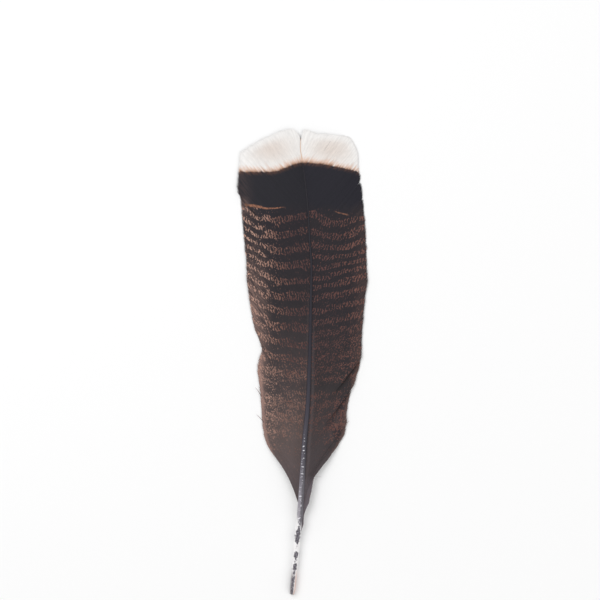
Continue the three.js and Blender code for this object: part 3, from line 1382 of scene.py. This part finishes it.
    def _flattened(self, layout: Layout) -> np.ndarray:
        """Place of every point on the kept map, a quarter of its width for each half vane.

        Args:
            layout: The vane's barbs.

        Returns:
            The places, by barb, step and corner.
        """
        count, margin = len(layout.rows), self.map_margin
        half = (count + 1) // 2
        row = np.arange(count)[:, None, None]
        column = (row >= half).astype(float)
        across = np.array(self.unrolled)
        v = margin + (1 - 2 * margin) * (row % half + across) / half
        u = (column + margin * 4 + (1 - margin * 8) * layout.t[None, :, None]) / 4
        return stacked((count, len(layout.t), len(across)), u, v)


# ---- Shaft ------------------------------------------------------------------------------------


@dataclass
class Shaft:
    """The quill and the rachis: one horn body with a groove below and a hollow cut end."""

    name: str = "quill_and_rachis"
    node: str = "shaft"
    plan: ShaftPlan = ShaftPlan()
    finish: ShaftFinish = ShaftFinish()
    steps: int = 320
    sides: int = 36
    groove_depth: float = 0.28
    groove_width: float = 0.32
    squareness: float = 0.75
    squares_over: tuple[float, float] = (-12.0, 25.0)  # from the vanes' base
    wall: float = 0.45
    hollow_depth: float = 7.0
    hollow_steps: int = 12
    dent: float = 0.012
    dent_reach: float = 6.0
    closed_to: tuple[float, float] = (0.05, 0.3)  # at the hollow's end and at the tip
    cut_back: float = 1.0
    cut_slant: float = 1.1  # how much further the cut's upper side is back
    cut_nicks: float = 0.25
    cut_fade: float = 6.0  # length over which the cut's shape fades out
    map_margin: float = 0.01
    seed: int = 5

    def build(self) -> bpy.types.Object:
        """Makes the shaft and hands it to the frame in place of the plain one.

        Returns:
            The shaft.
        """
        piece = self._sweep().build(self.finish.material())
        for face in piece.data.polygons:
            face.use_smooth = len(face.vertices) == 4
        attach(piece, BODY)
        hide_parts(self.node)
        return piece

    def _ring(self, y: np.ndarray) -> tuple[np.ndarray, np.ndarray]:
        """Outline of the section, round at the quill and squarer with a groove at the rachis.

        Args:
            y: Places along the feather.

        Returns:
            Places across and upwards, in shares of half the width and half the depth.
        """
        turn = np.linspace(0, 2 * np.pi, self.sides, endpoint=False)
        start, end = (self.plan.vane_base_y + beyond for beyond in self.squares_over)
        rachis = smooth(y, start, end)[:, None]
        power = blend(1.0, self.squareness, rachis)
        aside = np.sign(np.cos(turn)) * np.abs(np.cos(turn)) ** power
        upward = np.sign(np.sin(turn)) * np.abs(np.sin(turn)) ** power
        dip = np.exp(-((aside / self.groove_width) ** 2))
        groove = self.groove_depth * 2 * dip * (upward < 0) * rachis
        return aside, upward + groove

    def _sweep(self) -> Sweep:
        """Sweeps the section along the shaft and turns it in at the cut end.

        Returns:
            The shaft as one closed body.
        """
        plan = self.plan
        outer_y = np.linspace(plan.quill_end_y, plan.tip_y, self.steps)
        hollow_y = plan.quill_end_y + self.hollow_depth
        inner_y = np.linspace(hollow_y, plan.quill_end_y, self.hollow_steps)
        y = np.concatenate([inner_y, outer_y])
        inside = np.concatenate([np.ones(len(inner_y)), np.zeros(len(outer_y))])
        aside, upward = self._ring(y)
        rng = np.random.default_rng(self.seed)
        dents = 1 + self.dent * soft_noise(len(y), self.dent_reach, rng)[:, None]
        thin = 1 - inside * 2 * self.wall / plan.width(y)
        half_width = plan.width(y) / 2 * thin
        half_depth = plan.depth(y) / 2 * thin
        closing = np.ones(len(y))
        closing[[0, -1]] = self.closed_to
        direction = plan.direction(y)
        sideways = aside * (half_width * closing)[:, None] * np.minimum(dents, 1)
        x = plan.centre_x(y)[:, None] + sideways * direction[:, 1:]
        along = y[:, None] - sideways * direction[:, :1]
        along = along + self._ragged_cut(y, aside, upward)
        z = (plan.lift(y) + plan.depth(y) / 2)[:, None] + upward * (half_depth * closing)[:, None]
        return Sweep(
            name=self.name,
            points=stacked(x.shape, x, along, z)[None],
            faces_out=True,
            vectors={"station": stacked(x.shape, along, aside, upward)[None]},
            flattened=self._flattened(len(y)),
            lower_sides=tuple(range(self.sides // 2, self.sides)),
        )

    def _ragged_cut(self, y: np.ndarray, aside: np.ndarray, upward: np.ndarray) -> np.ndarray:
        """How far the quill's end is bitten back.

        Args:
            y: Places along the feather.
            aside: Places across the section.
            upward: Places upwards on it.

        Returns:
            The move along the feather of each point, which fades away from the end.
        """
        end_y = self.plan.quill_end_y
        near = 1 - smooth(y, end_y, end_y + self.cut_fade)[:, None]
        slant = self.cut_slant * (0.5 + 0.5 * upward)
        nicks = self.cut_nicks * np.sin(5 * aside + 2) * np.sin(4 * upward)
        return near * (slant + nicks + self.cut_back)

    def _flattened(self, rows: int) -> np.ndarray:
        """Place of every point on the kept map, before the lower faces move to their own half.

        Args:
            rows: How many rings there are.

        Returns:
            The places, by ring and corner.
        """
        margin = self.map_margin
        turn = np.arange(self.sides) / (self.sides / 2)
        u = np.where(turn <= 1, turn, 2 - turn)
        u = MAP_HALF * (margin * 2 + (1 - margin * 4) * u)
        v = margin + (1 - 2 * margin) * np.linspace(0, 1, rows)
        return stacked((1, rows, self.sides), u, v[:, None])


# ---- Loose barbs ------------------------------------------------------------------------------


@dataclass(frozen=True)
class Stray:
    """One barb that has come loose: where it starts, where it points and how it curls.

    It has the colour of the place where it lies, or of where it was grown.
    """

    x: float
    y: float
    z: float
    heading: float  # degrees from +Y towards +X
    length: float
    curl: float  # degrees that the heading turns along the barb
    width: float = 0.3
    grown_at: tuple[float, float] | None = None


@dataclass
class LooseBarbs:
    """Single barbs that stand off the edges of the vanes, and a few wisps at the base."""

    name: str
    slot: str
    finish: VaneFinish
    strays: tuple[Stray, ...]
    shaft: ShaftPlan = ShaftPlan()
    steps: int = 14
    taper: float = 0.75  # share of the width that is lost towards the tip
    hump: float = 0.9  # how high a barb of full_hump_length arches
    hump_share: float = 0.7  # share of a half wave that the arch is
    full_hump_length: float = 8.0
    root_drop: float = 30.0  # how far below its place each barb is taken to have its root
    chance_step: float = 0.37
    across: tuple[float, ...] = (-1.0, -0.3, 0.3, 1.0, 0.25, -0.25)  # of half the width
    upward: tuple[float, ...] = (0.0, 0.3, 0.3, 0.0, -0.5, -0.5)
    unrolled: tuple[float, ...] = (0.1, 0.36, 0.64, 0.9, 0.64, 0.36)  # the ring on the kept map
    map_span: tuple[float, float] = (0.01, 0.49)

    def build(self) -> bpy.types.Object:
        """Makes the loose barbs as one piece.

        Returns:
            The piece.
        """
        piece = self._sweep().build(self.finish.material())
        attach(piece, BODY)
        return piece

    def _sweep(self) -> Sweep:
        """Sweeps a flat tapered ribbon along each stray's curve.

        Returns:
            The ribbons.
        """
        t = np.linspace(0, 1, self.steps + 1)
        rings = [self._ribbon(stray, t) for stray in self.strays]
        marks = [self._vectors(number, ring, t) for number, ring in enumerate(rings)]
        vectors = {label: np.array([each[label] for each in marks]) for label in marks[0]}
        return Sweep(self.name, np.array(rings), True, vectors, self._flattened(t), LOWER_SIDES)

    def _ribbon(self, stray: Stray, t: np.ndarray) -> np.ndarray:
        """Shapes one loose barb.

        Args:
            stray: The barb.
            t: Steps along it, from 0 to 1.

        Returns:
            Points by step and corner.
        """
        heading = math.radians(stray.heading) + math.radians(stray.curl) * t
        move = np.stack([np.sin(heading), np.cos(heading)], -1) * stray.length / self.steps
        flat = np.array([stray.x, stray.y]) + np.cumsum(move, 0) - move[0]
        hump = self.hump * min(1, stray.length / self.full_hump_length)
        z = stray.z + hump * np.sin(np.pi * self.hump_share * t)
        path = np.concatenate([flat, z[:, None]], -1)
        beside = np.stack([np.cos(heading), -np.sin(heading), 0 * t], -1)
        half = (0.5 * stray.width * (1 - self.taper * t))[:, None]
        offsets = half * np.array(self.across)
        ring = path[:, None] + beside[:, None] * offsets[..., None]
        ring[..., 2] += half * np.array(self.upward)
        return ring

    def _vectors(self, number: int, ring: np.ndarray, t: np.ndarray) -> dict[str, np.ndarray]:
        """The attributes that one loose barb's colours come from.

        Args:
            number: The barb's place in the list.
            ring: Its points by step and corner.
            t: Steps along it, from 0 to 1.

        Returns:
            Vectors by attribute name.
        """
        stray, shape = self.strays[number], ring.shape[:2]
        x, y = stray.grown_at or (ring[..., 0], ring[..., 1])
        along = (stray.length * t)[:, None]
        root, chance = stray.y - self.root_drop, (number * self.chance_step) % 1
        return {
            "place": stacked(shape, x, y, np.abs(x - self.shaft.centre_x(y))),
            "strand": stacked(shape, root, along, chance),
            "reach": stacked(shape, stray.length - along, 0 * along, FACING),
        }

    def _flattened(self, t: np.ndarray) -> np.ndarray:
        """Place of every point on the kept map, with one row for each loose barb.

        Args:
            t: Steps along a barb, from 0 to 1.

        Returns:
            The places, by barb, step and corner.
        """
        count, across = len(self.strays), np.array(self.unrolled)
        v = (np.arange(count)[:, None, None] + across) / count
        u = blend(*self.map_span, t[None, :, None])
        return stacked((count, len(t), len(across)), u, v)


# ---- Studio -----------------------------------------------------------------------------------


@dataclass(frozen=True)
class Lamp:
    """A soft square lamp that looks at the feather. Its place and size are in metres."""

    name: str
    place: tuple[float, float, float]
    size: float
    power: float


@dataclass
class Studio:
    """Pale table, soft light and a camera that looks straight down."""

    picture_width: float = 405.6
    look_at: tuple[float, float] = (-1.7, 42.7)
    camera_height: float = 1400.0
    sensor: float = 36.0
    table_half: float = 2.0  # metres
    table_z: float = -0.05
    sky: float = 0.62
    lamps: tuple[Lamp, ...] = (
        Lamp("key", (-0.9, 0.9, 1.5), 1.2, 16.0),
        Lamp("fill", (1.1, -0.5, 1.4), 1.4, 7.0),
    )

    def build(self) -> None:
        """Sets the table, the light and the camera."""
        self._table()
        self._sky()
        for lamp in self.lamps:
            self._lamp(lamp)
        self._camera()

    def _table(self) -> None:
        """A flat table top just under the feather."""
        half, z = self.table_half, self.table_z * MM
        corners = [(-half, -half, z), (half, -half, z), (half, half, z), (-half, half, z)]
        mesh = bpy.data.meshes.new("table_top")
        mesh.from_pydata(corners, [], [(0, 1, 2, 3)])
        mesh.materials.append(TableFinish().material())
        table = bpy.data.objects.new("table_top", mesh)
        bpy.context.scene.collection.objects.link(table)

    def _sky(self) -> None:
        """Even white light from all round."""
        world = bpy.data.worlds.new("soft_room")
        world.use_nodes = True
        light = world.node_tree.nodes["Background"].inputs
        light["Color"].default_value = (1, 1, 1, 1)
        light["Strength"].default_value = self.sky
        bpy.context.scene.world = world
        bpy.context.scene.view_settings.view_transform = "Standard"

    def _lamp(self, lamp: Lamp) -> None:
        """Hangs one lamp.

        Args:
            lamp: The lamp.
        """
        light = bpy.data.lights.new(lamp.name, "AREA")
        light.size = lamp.size
        light.energy = lamp.power
        made = bpy.data.objects.new(lamp.name, light)
        made.location = lamp.place
        made.rotation_euler = Vector(lamp.place).to_track_quat("Z", "Y").to_euler()
        bpy.context.scene.collection.objects.link(made)

    def _camera(self) -> None:
        """A long lens high over the feather."""
        data = bpy.data.cameras.new("overhead")
        data.sensor_width = self.sensor
        data.lens = self.sensor * self.camera_height / self.picture_width
        made = bpy.data.objects.new("overhead", data)
        made.location = (self.look_at[0] * MM, self.look_at[1] * MM, self.camera_height * MM)
        bpy.context.scene.collection.objects.link(made)
        bpy.context.scene.camera = made


# ---- The feather ------------------------------------------------------------------------------

LEFT_FINISH = VaneFinish(
    name="left_barbs",
    side=Side.LEFT,
    bar_spacing=10.2,
    first_bar_y=96.3,
    ground=(
        (-82, srgb(94, 84, 86)),
        (-60, srgb(94, 82, 81)),
        (-45, srgb(91, 79, 77)),
        (-14, srgb(68, 60, 61)),
        (40, srgb(45, 41, 44)),
        (98, srgb(41, 37, 42)),
        (108, srgb(38, 37, 43)),
    ),
    inner_tan=srgb(87, 62, 60),
    mid_tan=srgb(117, 84, 75),
    outer_tan=srgb(188, 150, 134),
    edge_brown=srgb(158, 128, 119),
    edge_wear=(0.06, 0.8),
    bar_half=2.6,
    bar_cover=0.125,
    bars_fade=(-8.0, 14.0),
    speckle_cover=0.107,
    strip=0.75,
    strip_end=(-92.0, -74.0),
)
RIGHT_FINISH = VaneFinish(
    name="right_barbs",
    side=Side.RIGHT,
    bar_spacing=8.2,
    first_bar_y=100.4,
    ground=(
        (-98, srgb(104, 97, 102)),
        (-84, srgb(92, 84, 89)),
        (-74, srgb(74, 66, 68)),
        (-45, srgb(66, 58, 59)),
        (-12, srgb(50, 45, 47)),
        (40, srgb(43, 38, 42)),
        (98, srgb(41, 37, 41)),
        (108, srgb(34, 33, 41)),
    ),
    inner_tan=srgb(96, 67, 64),
    mid_tan=srgb(100, 69, 64),
    outer_tan=srgb(125, 87, 78),
    edge_brown=srgb(112, 88, 81),
    edge_wear=(0.2, 0.5),
    bar_half=2.15,
    bar_cover=0.125,
    bars_fade=(16.0, 44.0),
    speckle_cover=0.092,
    strip=0.6,
    strip_end=(-70.0, -52.0),
    low_shade=0.6,
)
LEFT_SPLITS = (
    Split(root_y=61.0, opening=-1.6, start=0.6, reach=7.0, raised=0.7, shadow=0.8),
    Split(root_y=-24.5, opening=-0.8, start=0.6, reach=5.0, raised=0.4, shadow=0.6),
    Split(root_y=-60.0, opening=0.25, start=0.8, reach=3.0),
)
RIGHT_SPLITS = (
    Split(root_y=-38.0, opening=-1.2, start=0.3, reach=6.0, raised=0.8, shadow=1.9),
    Split(root_y=-54.0, opening=-1.0, start=0.25, reach=5.0, raised=0.6, shadow=1.8),
    Split(root_y=-78.0, opening=-0.5, start=0.4, reach=4.0, raised=0.4, shadow=0.6),
    Split(root_y=85.5, opening=0.5, start=0.85, reach=1.6, bitten=1.1),
    Split(root_y=72.6, opening=0.3, start=0.85, reach=1.4, bitten=0.6),
    Split(root_y=36.0, opening=-0.4, start=0.8, reach=3.0),
)
STRAYS = (
    Stray(x=-27.2, y=-23.2, z=0.9, heading=-28, length=8.4, curl=-12, width=0.5, grown_at=(-9.0, -44.0)),
    Stray(x=-27.6, y=-19.6, z=0.8, heading=-30, length=4.6, curl=8, width=0.24, grown_at=(-9.0, -44.0)),
    Stray(x=-25.8, y=-40.4, z=0.9, heading=-34, length=7.8, curl=-16, width=0.5, grown_at=(-9.0, -40.0)),
    Stray(x=-26.0, y=-44.6, z=0.9, heading=-30, length=3.6, curl=10, width=0.24, grown_at=(-9.0, -44.0)),
    Stray(x=28.2, y=-44.0, z=0.9, heading=26, length=6.4, curl=14, width=0.36, grown_at=(-9.0, -30.0)),
    Stray(x=33.6, y=-16.4, z=0.9, heading=30, length=8.0, curl=-16, grown_at=(-9.0, -40.0)),
    Stray(x=14.5, y=143.5, z=4.0, heading=33, length=7.8, curl=6, width=0.16, grown_at=(-10.0, 120.0)),
    Stray(x=7.6, y=-76.4, z=3.4, heading=78, length=5.2, curl=26, width=0.14),
    Stray(x=7.6, y=-75.4, z=3.4, heading=66, length=5.2, curl=-30, width=0.14),
    Stray(x=7.2, y=-77.4, z=3.4, heading=100, length=3.8, curl=30, width=0.12),
)


def main() -> None:
    """Builds the feather and its studio, and reports each piece."""
    logging.basicConfig(level=logging.INFO, format="%(message)s")
    parts = (
        Shaft(),
        Vane("left_vane", "vane_left", LEFT_PLAN, LEFT_FINISH, LEFT_SPLITS, seed=11),
        Vane("right_vane", "vane_right", RIGHT_PLAN, RIGHT_FINISH, RIGHT_SPLITS, seed=23),
        LooseBarbs("loose_barbs", "vane_left", LEFT_FINISH, STRAYS),
    )
    for part in parts:
        piece = part.build()
        LOG.info("%s: %d faces", piece.name, len(piece.data.polygons))
    Studio().build()


if __name__ == "__main__":
    main()
